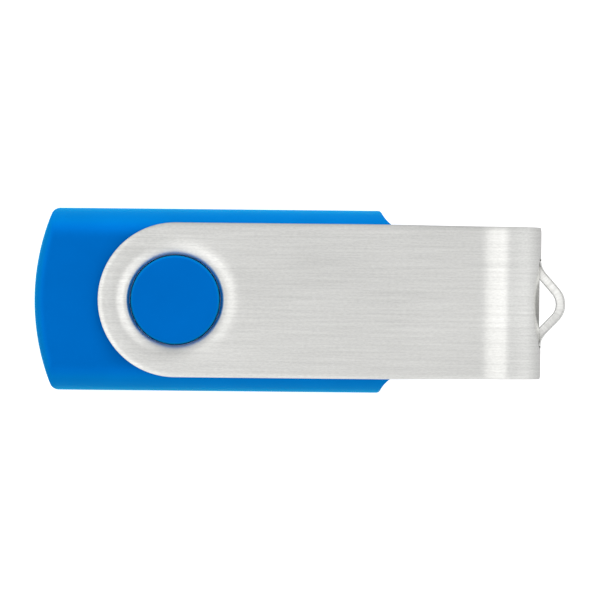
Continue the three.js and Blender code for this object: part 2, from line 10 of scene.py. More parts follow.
import bmesh
import bpy
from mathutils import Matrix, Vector

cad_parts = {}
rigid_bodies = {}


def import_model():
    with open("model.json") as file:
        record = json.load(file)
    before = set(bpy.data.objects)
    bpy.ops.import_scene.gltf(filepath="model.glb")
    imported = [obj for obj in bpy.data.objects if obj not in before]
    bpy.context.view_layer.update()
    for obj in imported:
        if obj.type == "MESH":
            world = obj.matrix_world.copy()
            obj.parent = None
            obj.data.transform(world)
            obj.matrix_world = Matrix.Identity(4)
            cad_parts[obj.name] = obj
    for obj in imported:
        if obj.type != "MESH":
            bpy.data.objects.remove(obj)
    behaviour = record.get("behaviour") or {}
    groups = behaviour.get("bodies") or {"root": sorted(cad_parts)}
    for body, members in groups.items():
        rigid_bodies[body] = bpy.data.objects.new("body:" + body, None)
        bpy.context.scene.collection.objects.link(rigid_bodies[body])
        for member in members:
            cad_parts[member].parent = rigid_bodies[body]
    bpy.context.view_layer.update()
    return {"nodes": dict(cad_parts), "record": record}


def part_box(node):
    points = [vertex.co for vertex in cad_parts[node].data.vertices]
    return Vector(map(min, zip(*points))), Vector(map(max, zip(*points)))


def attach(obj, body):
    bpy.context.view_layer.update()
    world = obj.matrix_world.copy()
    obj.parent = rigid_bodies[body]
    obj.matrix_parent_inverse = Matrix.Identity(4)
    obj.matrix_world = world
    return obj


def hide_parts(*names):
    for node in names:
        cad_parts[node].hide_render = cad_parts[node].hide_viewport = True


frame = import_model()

MM = 0.001
JOINT = frame["record"]["behaviour"]["joints"][0]
PIVOT = Vector(JOINT["pos_m"])
DRIVE, CLIP = JOINT["parent"], JOINT["child"]


def local_box(node):
    """A CAD node's lowest and highest corners in millimetres from the pivot and the mid-plane."""
    low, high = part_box(node)
    return (Vector(low) - PIVOT) / MM, (Vector(high) - PIVOT) / MM


def place(x, y, z):
    return PIVOT + Vector((x, y, z)) * MM


# ---------------------------------------------------------------- driving sizes

CLIP_HIGH = local_box("swivel_clip")[1]
SHELL_LOW, SHELL_HIGH = local_box("upper_shell")
PLUG_LOW, PLUG_HIGH = local_box("usb_plug_shell")

# The clip's sheet, its edges and its dished hole
SHEET = 0.8
CLIP_TOP = CLIP_HIGH.z
CLIP_HALF = CLIP_HIGH.y
TAPER_START = 23.5
BEND_HALF = CLIP_HALF - 0.11
EDGE_ROLL = 0.55
EDGE_DROP = 0.09
FLAT_HALF = CLIP_HALF - EDGE_ROLL
CUT_ROUND = 0.08
HOLE_RADIUS = 4.8
DISH_START = 7.6
DISH_TILT = math.radians(49)
DISH_POWER = 2.8
LIP = 0.12
LIP_TILT = math.radians(72)

# The bend and the strap that is pressed out of it
LOOP_RISE = 2.62
LOOP_HALF_HEIGHT = 1.4
LOOP_HALF_SPAN = 4.62
LOOP_ANGLE = math.radians(42.5)
LOOP_BASE_ROUND = 2.0
LOOP_TIP_ROUND = 2.5
LOOP_LEAN = -0.12
STRAP_SHARE = 0.97
BEND_DEPTH = 7.0
BEND_POWER = 2.3
BEND_START = CLIP_HIGH.x - LOOP_RISE - BEND_DEPTH

# The body and its hubs
BODY_HALF = SHELL_HIGH.y
BODY_FACE = 4.55
NOSE = SHELL_HIGH.x
REAR_ARC = 24.6
REAR_X = SHELL_LOW.x + REAR_ARC
REAR_CORNER = 0.95
SHOULDER_ARC = 3.5
SHOULDER_X = NOSE + 0.43
SHOULDER_Y = BODY_HALF + 1.3
FRONT_CORNER = 0.5
SIDE_ROUND_ACROSS = 3.3
SIDE_ROUND_DOWN = 3.5
SIDE_ROUND_LOSS = 0.7
REAR_ROUND = 1.2
FRONT_ROUND = 0.45
WALL = 1.3
PARTING_GROOVE = 0.12
HUB_RADIUS = 4.71
HUB_TOP = SHELL_HIGH.z
HUB_CORE_RADIUS = 3.4
HUB_CORE_TOP = 4.4
GROOVE_RADIUS = 7.15
GROOVE_FLOOR = 3.95

# The plug's folded sheet, its latch windows and its solder tabs
PLUG_SHEET = 0.3
PLUG_REAR = 17.9
PLUG_CORNER = 0.6
PLUG_SEAM_HALF = 0.035
WINDOW_SIDES = (1.85, 4.35)
WINDOW_ENDS = (PLUG_HIGH.x - 7.2, PLUG_HIGH.x - 5.2)
TAB_BOTTOM = -0.5
TAB_TOP = 1.0

# ---------------------------------------------------------------- node helpers


class Nodes:
    """A material's node tree, with short calls for the nodes that the materials share."""

    def __init__(self, name):
        self.material = bpy.data.materials.new(name)
        self.material.use_nodes = True
        self.tree = self.material.node_tree
        self.shader = self.tree.nodes["Principled BSDF"]

    def add(self, kind, **values):
        node = self.tree.nodes.new(kind)
        for key, value in values.items():
            setattr(node, key, value)
        return node

    def link(self, source, target):
        self.tree.links.new(source, target)

    def set(self, **values):
        for key, value in values.items():
            self.shader.inputs[key.replace("_", " ")].default_value = value

    def coordinates(self, output, scale):
        """Texture coordinates of the given kind, scaled by a triple."""
        source = self.add("ShaderNodeTexCoord")
        mapping = self.add("ShaderNodeMapping")
        mapping.inputs["Scale"].default_value = scale
        self.link(source.outputs[output], mapping.inputs["Vector"])
        return mapping.outputs["Vector"]

    def millimetres(self):
        """A place on the object, in millimetres."""
        return self.coordinates("Object", (1 / MM,) * 3)

    def noise(self, vector, scale, detail=2.0, roughness=0.5):
        node = self.add("ShaderNodeTexNoise")
        node.inputs["Scale"].default_value = scale
        node.inputs["Detail"].default_value = detail
        node.inputs["Roughness"].default_value = roughness
        self.link(vector, node.inputs["Vector"])
        return node.outputs["Fac"]

    def stops(self, factor, *stops):
        """Maps a factor to a colour through (position, colour) stops. A colour may be one grey number."""
        node = self.add("ShaderNodeValToRGB")
        elements = node.color_ramp.elements
        while len(elements) < len(stops):
            elements.new(1.0)
        for element, (position, colour) in zip(elements, stops):
            element.position = position
            element.color = (*colour, 1) if isinstance(colour, tuple) else (colour, colour, colour, 1)
        self.link(factor, node.inputs["Fac"])
        return node.outputs["Color"]

    def ramp(self, factor, low, high, low_at=0.0, high_at=1.0):
        """Maps a factor to a colour between two colours, or to a grey value between two numbers."""
        return self.stops(factor, (low_at, low), (high_at, high))

    def math(self, operation, first, second):
        node = self.add("ShaderNodeMath", operation=operation)
        for socket, value in zip(node.inputs, (first, second)):
            if isinstance(value, (int, float)):
                socket.default_value = value
            else:
                self.link(value, socket)
        return node.outputs["Value"]

    def mixed(self, first, second, share):
        """The first value with a share of it given over to the second."""
        kept, added = self.math("MULTIPLY", first, 1 - share), self.math("MULTIPLY", second, share)
        return self.math("ADD", kept, added)

    def feed(self, name, source):
        self.link(source, self.shader.inputs[name])

    def bump(self, height, distance):
        """Raises the surface by a height pattern, up to a distance in metres."""
        node = self.add("ShaderNodeBump")
        node.inputs["Distance"].default_value = distance
        node.inputs["Strength"].default_value = 1.0
        self.link(height, node.inputs["Height"])
        self.feed("Normal", node.outputs["Normal"])


# ---------------------------------------------------------------- materials


def brushed_aluminium():
    """Sheet brushed along its length. The UV map holds millimetres along and across the unfolded sheet."""
    n = Nodes("brushed_aluminium")
    n.set(Metallic=1.0, Anisotropic=0.85, Anisotropic_Rotation=0.25)
    tangent = n.add("ShaderNodeTangent", direction_type="UV_MAP")
    tangent.uv_map = "sheet"
    n.feed("Tangent", tangent.outputs["Tangent"])

    long_scratch = n.noise(n.coordinates("UV", (0.1, 3.6, 1.0)), 1.0, detail=4.0, roughness=0.65)
    fine_scratch = n.noise(n.coordinates("UV", (2.4, 7.0, 1.0)), 1.0, detail=3.0, roughness=0.7)
    cloud = n.noise(n.coordinates("UV", (0.05, 0.09, 1.0)), 1.0)

    lines = n.mixed(long_scratch, fine_scratch, 0.5)
    streaks = n.mixed(lines, cloud, 0.2)
    dull, bright = (0.65, 0.651, 0.635), (0.985, 0.987, 0.965)
    n.feed("Base Color", n.ramp(streaks, dull, bright, 0.3, 0.7))
    n.feed("Roughness", n.ramp(lines, 0.40, 0.31, 0.3, 0.7))
    n.bump(lines, 0.003 * MM)
    return n.material


def shell_plastic():
    """Blue moulded plastic with a fine grain and faint flow marks, with painted light over rounded edges:
    its colour is made lighter where the surface turns from the view.
    """
    n = Nodes("shell_plastic")
    n.set(Specular_IOR_Level=0.012, Specular_Tint=(0.0, 0.8, 1.0, 1))
    n.set(Sheen_Weight=0.45, Sheen_Roughness=0.5, Sheen_Tint=(0.0, 0.9, 1.0, 1))
    where = n.millimetres()
    flow = n.noise(where, 0.16, detail=3.0, roughness=0.55)
    grain = n.noise(where, 14.0, detail=3.0, roughness=0.6)
    tone = n.ramp(flow, (0.0, 0.121, 0.487), (0.0, 0.129, 0.514), 0.35, 0.65)
    # Painted light and shade: a ramp on how far the surface turns from the view makes the blue greener and
    # lighter on gently tilted faces and a little less blue at grazing, standing in for light falling over
    # the rounded edges
    facing = n.add("ShaderNodeLayerWeight")
    rim = n.stops(
        facing.outputs["Facing"],
        (0.0, (1.0, 1.0, 1.0)),
        (0.06, (1.0, 1.15, 1.13)),
        (0.12, (1.0, 1.22, 1.13)),
        (0.2, (1.0, 1.25, 1.06)),
        (0.3, (1.0, 1.14, 0.98)),
        (0.5, (1.0, 1.0, 0.9)),
    )
    # Multiplies the flow tone by the painted edge light
    tone_with_painted_light = n.add("ShaderNodeMix", data_type="RGBA", blend_type="MULTIPLY", clamp_result=False)
    tone_with_painted_light.inputs["Factor"].default_value = 1.0
    n.link(tone, tone_with_painted_light.inputs["A"])
    n.link(rim, tone_with_painted_light.inputs["B"])
    n.feed("Base Color", tone_with_painted_light.outputs["Result"])
    n.feed("Roughness", n.ramp(grain, 0.38, 0.5, 0.3, 0.7))
    n.bump(grain, 0.0035 * MM)
    return n.material


def plated_steel(name, colour, roughness, stretch):
    """Plated metal with fine rolling marks along x and soft spots."""
    n = Nodes(name)
    n.set(Metallic=1.0)
    marks = n.noise(n.coordinates("Object", (stretch / MM, 9 / MM, 9 / MM)), 1.0, detail=3.0, roughness=0.6)
    spots = n.noise(n.millimetres(), 0.8)
    dark = tuple(0.94 * c for c in colour)
    n.feed("Base Color", n.ramp(spots, dark, colour, 0.35, 0.6))
    n.feed("Roughness", n.ramp(marks, roughness * 0.85, roughness * 1.15, 0.3, 0.7))
    n.bump(marks, 0.0008 * MM)
    return n.material


def moulded_plastic(name, low, high, roughness, grain_size):
    """Plastic, ceramic or epoxy with a speckled tone and a grain of the given size in millimetres."""
    n = Nodes(name)
    where = n.millimetres()
    grain = n.noise(where, 1 / grain_size, detail=3.0, roughness=0.6)
    n.feed("Base Color", n.ramp(n.noise(where, 0.6), low, high, 0.35, 0.65))
    n.feed("Roughness", n.ramp(grain, roughness * 0.85, roughness * 1.2, 0.3, 0.7))
    n.bump(grain, 0.006 * MM)
    return n.material


def solder_mask():
    """Green mask over square-cornered copper tracks."""
    n = Nodes("solder_mask")
    n.set(Roughness=0.28)
    cells = n.add("ShaderNodeTexVoronoi", distance="CHEBYCHEV", feature="F1")
    cells.inputs["Scale"].default_value = 0.9
    cells.inputs["Randomness"].default_value = 0.8
    n.link(n.millimetres(), cells.inputs["Vector"])
    rings = n.math("PINGPONG", cells.outputs["Distance"], 0.12)
    tracks = n.ramp(rings, 0.0, 1.0, 0.045, 0.06)
    mix = n.add("ShaderNodeMix", data_type="RGBA")
    mix.inputs["A"].default_value = (0.006, 0.075, 0.022, 1)
    mix.inputs["B"].default_value = (0.02, 0.17, 0.045, 1)
    n.link(tracks, mix.inputs["Factor"])
    n.feed("Base Color", mix.outputs["Result"])
    n.bump(tracks, 0.03 * MM)
    return n.material


def lamp_resin():
    """Cloudy clear resin over a warm phosphor."""
    n = Nodes("lamp_resin")
    n.set(Roughness=0.2, Transmission_Weight=0.35, IOR=1.5)
    cloud = n.noise(n.millimetres(), 1.8)
    n.feed("Base Color", n.ramp(cloud, (0.75, 0.66, 0.36), (0.86, 0.84, 0.7), 0.35, 0.65))
    n.bump(cloud, 0.01 * MM)
    return n.material


def white_floor():
    """Matt white paper that glows just enough to stay plain."""
    n = Nodes("white_floor")
    n.set(Roughness=0.9, Specular_IOR_Level=0.1, Emission_Color=(1, 1, 1, 1), Emission_Strength=0.57)
    fibre = n.noise(n.coordinates("Object", (40.0,) * 3), 1.0, detail=3.0, roughness=0.6)
    n.feed("Base Color", n.ramp(fibre, (0.84, 0.84, 0.84), (0.86, 0.86, 0.86)))
    return n.material


# ---------------------------------------------------------------- mesh helpers

# Shading isn't smoothed over edges that are sharper than this
SPLIT_ANGLE = math.radians(52)


def add_piece(name, bm, materials, body, node):
    """Makes an object of a bmesh, rides it on a body and lets it stand for a CAD node."""
    for edge in sharp_edges(bm, SPLIT_ANGLE):
        edge.smooth = False
    mesh = bpy.data.meshes.new(name)
    bm.to_mesh(mesh)
    bm.free()
    for material in materials:
        mesh.materials.append(material)
    for polygon in mesh.polygons:
        polygon.use_smooth = True
    piece = bpy.data.objects.new(name, mesh)
    bpy.context.scene.collection.objects.link(piece)
    normals = piece.modifiers.new("normals", "WEIGHTED_NORMAL")
    normals.weight = 60
    normals.keep_sharp = True
    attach(piece, body)
    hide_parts(node)


def arc(cx, cy, radius, start, end, steps):
    """Points on a circle, from one angle to the other, both included."""
    angles = [start + (end - start) * i / steps for i in range(steps + 1)]
    return [(cx + radius * math.cos(a), cy + radius * math.sin(a)) for a in angles]


def line(start, end, steps):
    """Points on a straight line without its end."""
    return [tuple(a + (b - a) * i / steps for a, b in zip(start, end)) for i in range(steps)]


def sharp_edges(bm, angle):
    return [e for e in bm.edges if len(e.link_faces) == 2 and e.calc_face_angle(0) > angle]


def soften(bm, edges, width):
    """Rounds the edges off with a narrow bevel."""
    bmesh.ops.bevel(
        bm,
        geom=edges,
        offset=width * MM,
        segments=2,
        profile=0.5,
        affect="EDGES",
        clamp_overlap=True,
    )


def open_edges(quads):
    """The edges that only one of the quads has, in the direction in which it has them."""
    uses = {}
    for quad in quads:
        for a, b in zip(quad, quad[1:] + quad[:1]):
            uses.setdefault(frozenset((a, b)), []).append((a, b))
    return [found[0] for found in uses.values() if len(found) == 1]


# ---------------------------------------------------------------- swivel clip


def dish_slope(radius):
    """How steeply the sheet falls towards the hole, in radians."""
    if radius >= DISH_START:
        return 0.0
    slope = DISH_TILT * ((DISH_START - radius) / (DISH_START - HOLE_RADIUS)) ** DISH_POWER
    lip = max(0.0, (HOLE_RADIUS + LIP - radius) / LIP)
    return slope + (LIP_TILT - slope) * lip


def dish_drop(radius):
    """How far the outside of the sheet lies below the flat arm."""
    steps = 60
    width = (DISH_START - radius) / steps
    if width <= 0:
        return 0.0
    return sum(math.tan(dish_slope(radius + (i + 0.5) * width)) for i in range(steps)) * width


class Sheet:
    """The outside of the clip as quads between named points.

    Each point has its position, its normal and its place on the unfolded sheet.
    """

    def __init__(self):
        self.points = {}
        self.quads = []

    def point(self, key, position, normal, flat):
        self.points.setdefault(key, (Vector(position), Vector(normal).normalized(), flat))
        return key

    def grid(self, rows):
        """Joins rows of keys. The first row is on the left of a walk along the second, seen from outside."""
        for upper, lower in zip(rows, rows[1:]):
            for i in range(len(upper) - 1):
                self.quads.append((upper[i], lower[i], lower[i + 1], upper[i + 1]))

    def mirrored(self, length):
        """Adds the half below the mid-plane. length is the unfolded length up to the mid-plane."""
        def other(key):
            position, normal, (along, across) = self.points[key]
            if abs(position.z) < 1e-6:
                return key
            name = ("below", key)
            self.point(
                name,
                (position.x, position.y, -position.z),
                (normal.x, normal.y, -normal.z),
                (2 * length - along, across),
            )
            return name

        self.quads += [tuple(other(key) for key in reversed(quad)) for quad in self.quads]


def bend_point(angle):
    """A point of the bend's outside and its normal. The bend starts softly out of the flat arm."""
    across = math.cos(angle) ** (2 / BEND_POWER)
    up = math.sin(angle)
    slope = BEND_POWER / BEND_DEPTH * across ** (BEND_POWER - 1)
    normal = Vector((slope, 0, 2 / CLIP_TOP * up)).normalized()
    return BEND_START + BEND_DEPTH * across, CLIP_TOP * up, normal


# How finely the clip is divided: across it from its middle line to a strap foot and on to the side,
# along the arm before and after JOIN_X, where even rows begin, round the bend and up the strap
FOOT_STEPS = 9
SIDE_STEPS = 14
FAN_STEPS = 6
JOIN_X = 12.0
ARM_STEPS = 10
BEND_STEPS = 30
STRAP_STEPS = 4


def bend_stations():
    """Places along the sheet from the flat arm to the mid-plane, as (x, z, normal, length so far, angle)."""
    slot = math.asin(LOOP_HALF_HEIGHT / CLIP_TOP)
    angles = [math.pi / 2 + (slot - math.pi / 2) * i / BEND_STEPS for i in range(BEND_STEPS + 1)]
    angles += [slot * (1 - i / STRAP_STEPS) for i in range(1, STRAP_STEPS + 1)]
    stations = []
    length = BEND_START
    last = (BEND_START, CLIP_TOP)
    for angle in angles:
        x, z, normal = bend_point(angle)
        length += math.dist(last, (x, z))
        last = (x, z)
        stations.append((x, z, normal, length, angle))
    return stations


def strap_line():
    """The strap's outside line from one foot to the other: (rise, y, direction)."""
    flank = LOOP_RISE - (LOOP_BASE_ROUND + LOOP_TIP_ROUND) * (1 - math.cos(LOOP_ANGLE))
    flank /= math.sin(LOOP_ANGLE)
    base_steps, flank_steps, tip_steps = 7, 4, 9
    half = []
    for i in range(base_steps + 1):
        turn = LOOP_ANGLE * i / base_steps
        rise = LOOP_BASE_ROUND * (1 - math.cos(turn))
        half.append((rise, LOOP_HALF_SPAN - LOOP_BASE_ROUND * math.sin(turn), turn))
    rise, y, _ = half[-1]
    for i in range(1, flank_steps):
        step = flank * i / flank_steps
        half.append((rise + step * math.sin(LOOP_ANGLE), y - step * math.cos(LOOP_ANGLE), LOOP_ANGLE))
    for i in range(tip_steps + 1):
        turn = LOOP_ANGLE * (1 - i / tip_steps)
        rise = LOOP_RISE - LOOP_TIP_ROUND * (1 - math.cos(turn))
        half.append((rise, LOOP_TIP_ROUND * math.sin(turn), turn))
    return half + [(rise, -y, -turn) for rise, y, turn in reversed(half[:-1])]


def taper(x, y):
    """A point's y on the clip, which narrows a little from the front of the body to the bend."""
    share = min(1.0, max(0.0, (x - TAPER_START) / (BEND_START - TAPER_START)))
    return y * (1 + share * (BEND_HALF / CLIP_HALF - 1))


def fan_turns():
    """Directions from the pivot over half a turn, with one in line with each foot of the strap."""
    foot = math.asin(LOOP_HALF_SPAN / FLAT_HALF)
    half = [foot * i / FOOT_STEPS for i in range(FOOT_STEPS)]
    half += [foot + (math.pi / 2 - foot) * i / SIDE_STEPS for i in range(SIDE_STEPS + 1)]
    return [-turn for turn in reversed(half[1:])] + half


class ClipSheet(Sheet):
    """The clip's outside: the dished round end, the arm, the bend, the rolled edges and the strap."""

    def __init__(self):
        super().__init__()
        self.turns = fan_turns()
        self.stations = bend_stations()
        self.feet = (SIDE_STEPS, len(self.turns) - 1 - SIDE_STEPS)
        self.add_dish()
        self.add_rolled_edges(self.add_arm_and_bend())
        self.add_strap()
        self.mirrored(self.stations[-1][3])

    def ring_point(self, radius, angle):
        """A point of the round end, which the arm shares along its outer ring."""
        slope = dish_slope(radius)
        x, y = radius * math.cos(angle), radius * math.sin(angle)
        normal = (-math.sin(slope) * math.cos(angle), -math.sin(slope) * math.sin(angle), math.cos(slope))
        key = ("ring", round(radius, 6), round(math.degrees(angle), 3) % 360)
        return self.point(key, (x, y, CLIP_TOP - dish_drop(radius)), normal, (x, y))

    def add_dish(self):
        """Rings from the hole's lip out to where the edge starts to roll."""
        lip_rings, dish_rings, spread = 5, 20, 1.2
        lip_end = HOLE_RADIUS + LIP
        radii = [HOLE_RADIUS + LIP * i / lip_rings for i in range(lip_rings)]
        reach = FLAT_HALF - lip_end
        radii += [lip_end + reach * (i / dish_rings) ** spread for i in range(dish_rings + 1)]
        circle = self.turns + [math.pi - turn for turn in reversed(self.turns)][1:]
        self.grid([[self.ring_point(radius, angle) for angle in circle] for radius in radii])

    def add_arm_and_bend(self):
        """The arm, then the bend, which is open between the strap's feet. Gives the rows along them."""
        flat = [JOIN_X + (BEND_START - JOIN_X) * i / ARM_STEPS for i in range(1, ARM_STEPS)]
        rows = []
        for i, turn in enumerate(self.turns):
            ring_x, y = FLAT_HALF * math.cos(turn), FLAT_HALF * math.sin(turn)
            fan = [ring_x + (JOIN_X - ring_x) * c / FAN_STEPS for c in range(1, FAN_STEPS + 1)]
            row = [self.ring_point(FLAT_HALF, turn)]
            for x in fan + flat:
                row.append(self.point(("arm", i, x), (x, taper(x, y), CLIP_TOP), (0, 0, 1), (x, y)))
            for s, (x, z, normal, length, _) in enumerate(self.stations):
                row.append(self.point(("bend", i, s), (x, taper(x, y), z), normal, (length, y)))
            rows.append(row)
        slot_start = len(rows[0]) - STRAP_STEPS - 1
        self.grid([row[: slot_start + 1] for row in reversed(rows)])
        tails = [row[slot_start:] for row in rows]
        self.grid(tails[self.feet[0] :: -1])
        self.grid(tails[: self.feet[1] - 1 : -1])
        return rows

    def rolled(self, key, share, outward):
        """A point on the rolled-down edge, a share of the way out from a point on the flat sheet."""
        position, normal, (along, across) = self.points[key]
        tilt = math.atan(2 * EDGE_DROP * share / EDGE_ROLL)
        step = outward * EDGE_ROLL * share
        return self.point(
            ("edge", share, key),
            position + step - normal * EDGE_DROP * share**2,
            normal * math.cos(tilt) + outward * math.sin(tilt),
            (along + step.x, across + step.y),
        )

    def add_rolled_edges(self, rows):
        """Bands outside both side rows and round the rear end."""
        angles = [math.pi - turn for turn in reversed(self.turns)]
        rear_edge = [self.ring_point(FLAT_HALF, angle) for angle in angles]
        rearwards = [Vector((math.cos(angle), math.sin(angle), 0)) for angle in angles]
        edges = (
            (rear_edge, rearwards, 1),
            (rows[0], [Vector((0, -1, 0))] * len(rows[0]), 1),
            (rows[-1], [Vector((0, 1, 0))] * len(rows[0]), -1),
        )
        for edge, outwards, order in edges:
            bands = [edge]
            for share in (0.25, 0.5, 0.75, 1.0):
                bands.append([self.rolled(key, share, outward) for key, outward in zip(edge, outwards)])
            self.grid(bands[::order])

    def add_strap(self):
        """The strip between the slit ends, pressed out from foot to foot."""
        first, last = self.feet
        strap = strap_line()[1:-1]
        rows = []
        for s in range(len(self.stations) - STRAP_STEPS - 1, len(self.stations)):
            length, angle = self.stations[s][3:]
            x, z, out = bend_point(STRAP_SHARE * angle)
            upward = Vector((-out.z, 0, out.x))
            row = [("bend", last, s)]
            for i, (rise, y, turn) in enumerate(strap):
                normal = upward.cross(Vector((math.sin(turn), -math.cos(turn), 0)))
                position = (x + rise, y + LOOP_LEAN * rise / LOOP_RISE, z)
                row.append(self.point(("strap", s, i), position, normal, (length, y)))
            rows.append(row + [("bend", first, s)])
        self.grid(rows)


def cut_directions(rim, points):
    """The way out of the sheet at each point of its cut edges, or no way at the end of a slit."""
    found = {}
    for a, b in rim:
        (here, normal, _), (there, other_normal, _) = points[a], points[b]
        out = (there - here).cross(normal + other_normal).normalized()
        found.setdefault(a, []).append(out)
        found.setdefault(b, []).append(out)
    return {key: (a + b).normalized() if a.dot(b) > 0 else Vector() for key, (a, b) in found.items()}


def cut_profile(position, normal, out):
    """Points round a cut edge from the outside of the sheet to the inside, with both corners rounded."""
    turns = [math.pi / 2 * i / 3 for i in range(4)]
    arc_points = [(CUT_ROUND * (math.sin(t) - 1), CUT_ROUND * (1 - math.cos(t))) for t in turns]
    arc_points += [(back, SHEET - down) for back, down in reversed(arc_points)]
    return [position + out * back - normal * down for back, down in arc_points]


def build_clip(material):
    """The sheet's outside, its inside one thickness further in, and the rounded cut edges between them."""
    sheet = ClipSheet()
    rim = open_edges(sheet.quads)
    ways_out = cut_directions(rim, sheet.points)

    bm = bmesh.new()
    uv_layer = bm.loops.layers.uv.new("sheet")
    columns, flat_of = {}, {}
    for key, (position, normal, flat) in sheet.points.items():
        profile = [position, position - normal * SHEET]
        if key in ways_out:
            profile = cut_profile(position, normal, ways_out[key])
        columns[key] = [bm.verts.new(place(*point)) for point in profile]
        flat_of[key] = Vector(flat)

    def add_face(corners, flats):
        face = bm.faces.new(corners)
        for loop, flat in zip(face.loops, flats):
            loop[uv_layer].uv = flat

    for quad in sheet.quads:
        flats = [flat_of[key] for key in quad]
        add_face([columns[key][0] for key in quad], flats)
        add_face([columns[key][-1] for key in reversed(quad)], flats[::-1])
    for a, b in rim:
        past = (flat_of[b] - flat_of[a]).orthogonal().normalized() * SHEET
        steps = len(columns[a]) - 1
        for i in range(steps):
            near, far = past * i / steps, past * (i + 1) / steps
            corners = (columns[b][i], columns[a][i], columns[a][i + 1], columns[b][i + 1])
            add_face(corners, (flat_of[b] + near, flat_of[a] + near, flat_of[a] + far, flat_of[b] + far))
    add_piece("clip_sheet", bm, [material], CLIP, "swivel_clip")


# ---------------------------------------------------------------- plastic shells


def rounding(distance, across, down):
    """How far an elliptical edge rounding has fallen at this distance inside the wall."""
    if distance >= across:
        return 0.0
    reach = min(1.0, (across - distance) / across)
    return down * (1 - math.sqrt(1 - reach * reach))


def body_drop(x, y, inset):
    """How far the shell's face lies below its flat middle. inset is 0 outside and the wall inside."""
    loss = SIDE_ROUND_LOSS * inset
    side = rounding(BODY_HALF - inset - abs(y), SIDE_ROUND_ACROSS - loss, SIDE_ROUND_DOWN - loss)
    rear_round = max(0.3, REAR_ROUND - inset)
    rear = rounding(REAR_ARC - inset - math.hypot(x - REAR_X, y), rear_round, rear_round)
    nose = rounding(NOSE - inset - x, FRONT_ROUND, FRONT_ROUND)
    reach = math.hypot(x - SHOULDER_X, abs(y) - SHOULDER_Y) - SHOULDER_ARC - inset
    shoulder = rounding(reach, FRONT_ROUND, FRONT_ROUND)
    return sum(d**4 for d in (side, rear, nose, shoulder)) ** 0.25


def body_outline():
    """The shell's outline seen from above, anticlockwise from the middle of the nose."""
    front_y = BODY_HALF - FRONT_CORNER
    front_x = SHOULDER_X - math.sqrt((SHOULDER_ARC + FRONT_CORNER) ** 2 - (SHOULDER_Y - front_y) ** 2)
    front_turn = math.atan2(SHOULDER_Y - front_y, SHOULDER_X - front_x)
    nose_turn = math.acos((NOSE - SHOULDER_X) / SHOULDER_ARC)
    nose_y = SHOULDER_Y - SHOULDER_ARC * math.sin(nose_turn)
    rear_y = BODY_HALF - REAR_CORNER
    corner_x = REAR_X - math.sqrt((REAR_ARC - REAR_CORNER) ** 2 - rear_y**2)
    rear_turn = math.pi - math.asin(rear_y / (REAR_ARC - REAR_CORNER))

    points = line((NOSE, 0), (NOSE, nose_y), 20)
    points += arc(SHOULDER_X, SHOULDER_Y, SHOULDER_ARC, -nose_turn, front_turn - math.pi, 20)
    points += arc(front_x, front_y, FRONT_CORNER, front_turn, math.pi / 2, 7)[1:]
    points += line((front_x, BODY_HALF), (corner_x, BODY_HALF), 96)[1:]
    points += arc(corner_x, rear_y, REAR_CORNER, math.pi / 2, rear_turn, 12)
    points += arc(REAR_X, 0, REAR_ARC, rear_turn, math.pi, 26)[1:]
    return points + [(x, -y) for x, y in reversed(points[1:-1])]


def cavity_reach(angle):
    """How far the cavity reaches from the pivot in this direction."""
    dx, dy = math.cos(angle), abs(math.sin(angle))
    reach = REAR_X * dx + math.sqrt((REAR_X * dx) ** 2 - REAR_X**2 + (REAR_ARC - WALL) ** 2)
    if dy > 1e-6:
        reach = min(reach, (BODY_HALF - WALL) / dy)
    if dx > 1e-6:
        reach = min(reach, (NOSE - WALL) / dx)
    along = SHOULDER_X * dx + SHOULDER_Y * dy
    clear = along**2 - SHOULDER_X**2 - SHOULDER_Y**2 + (SHOULDER_ARC + WALL) ** 2
    if clear > 0 and along > 0:
        reach = min(reach, along - math.sqrt(clear))
    return reach


def hub_profile():
    """The turned middle of a shell from near the axis out to the flat face, as (radius, height)."""
    rim, foot, lip = 0.28, 0.15, 0.1
    flat_rings = (1.6, 3.4, 4.2)
    groove_middle = 6.2
    points = [(radius, HUB_TOP) for radius in flat_rings]
    points += arc(HUB_RADIUS - rim, HUB_TOP - rim, rim, math.pi / 2, 0, 6)
    points += arc(HUB_RADIUS + foot, GROOVE_FLOOR + foot, foot, math.pi, 1.5 * math.pi, 3)
    points += [(groove_middle, GROOVE_FLOOR), (GROOVE_RADIUS, GROOVE_FLOOR)]
    return points + arc(GROOVE_RADIUS + lip, BODY_FACE - lip, lip, math.pi, math.pi / 2, 3)


def turned_row(headings, radius, height):
    return [(radius * math.cos(a), radius * math.sin(a), height) for a in headings]


def face_rows(outline, headings, start):
    """Rows over the face from the start radius out to the outline, closer together towards the outline."""
    steps = 46
    rows = []
    for j in range(1, steps + 1):
        share = 1 - (1 - j / steps) ** 2
        row = []
        for (x, y), a in zip(outline, headings):
            px = start * math.cos(a) + (x - start * math.cos(a)) * share
            py = start * math.sin(a) + (y - start * math.sin(a)) * share
            row.append((px, py, BODY_FACE - body_drop(px, py, 0)))
        rows.append(row)
    return rows


def inset_outline(outline, distance):
    """The outline moved inwards by a small distance."""
    moved = []
    for i, (x, y) in enumerate(outline):
        (ax, ay), (bx, by) = outline[i - 1], outline[(i + 1) % len(outline)]
        length = math.hypot(bx - ax, by - ay)
        moved.append((x - (by - ay) / length * distance, y + (bx - ax) / length * distance))
    return moved


def wall_rows(outline, edge):
    """Rows down the side wall and over the small rounding at the parting line."""
    rows = [[(x, y, max(PARTING_GROOVE + 0.02, 0.5 * z)) for x, y, z in edge]]
    for turn in (0.0, math.pi / 4, math.pi / 2):
        ring = inset_outline(outline, PARTING_GROOVE * (1 - math.cos(turn)))
        rows.append([(x, y, PARTING_GROOVE * (1 - math.sin(turn))) for x, y in ring])
    return rows


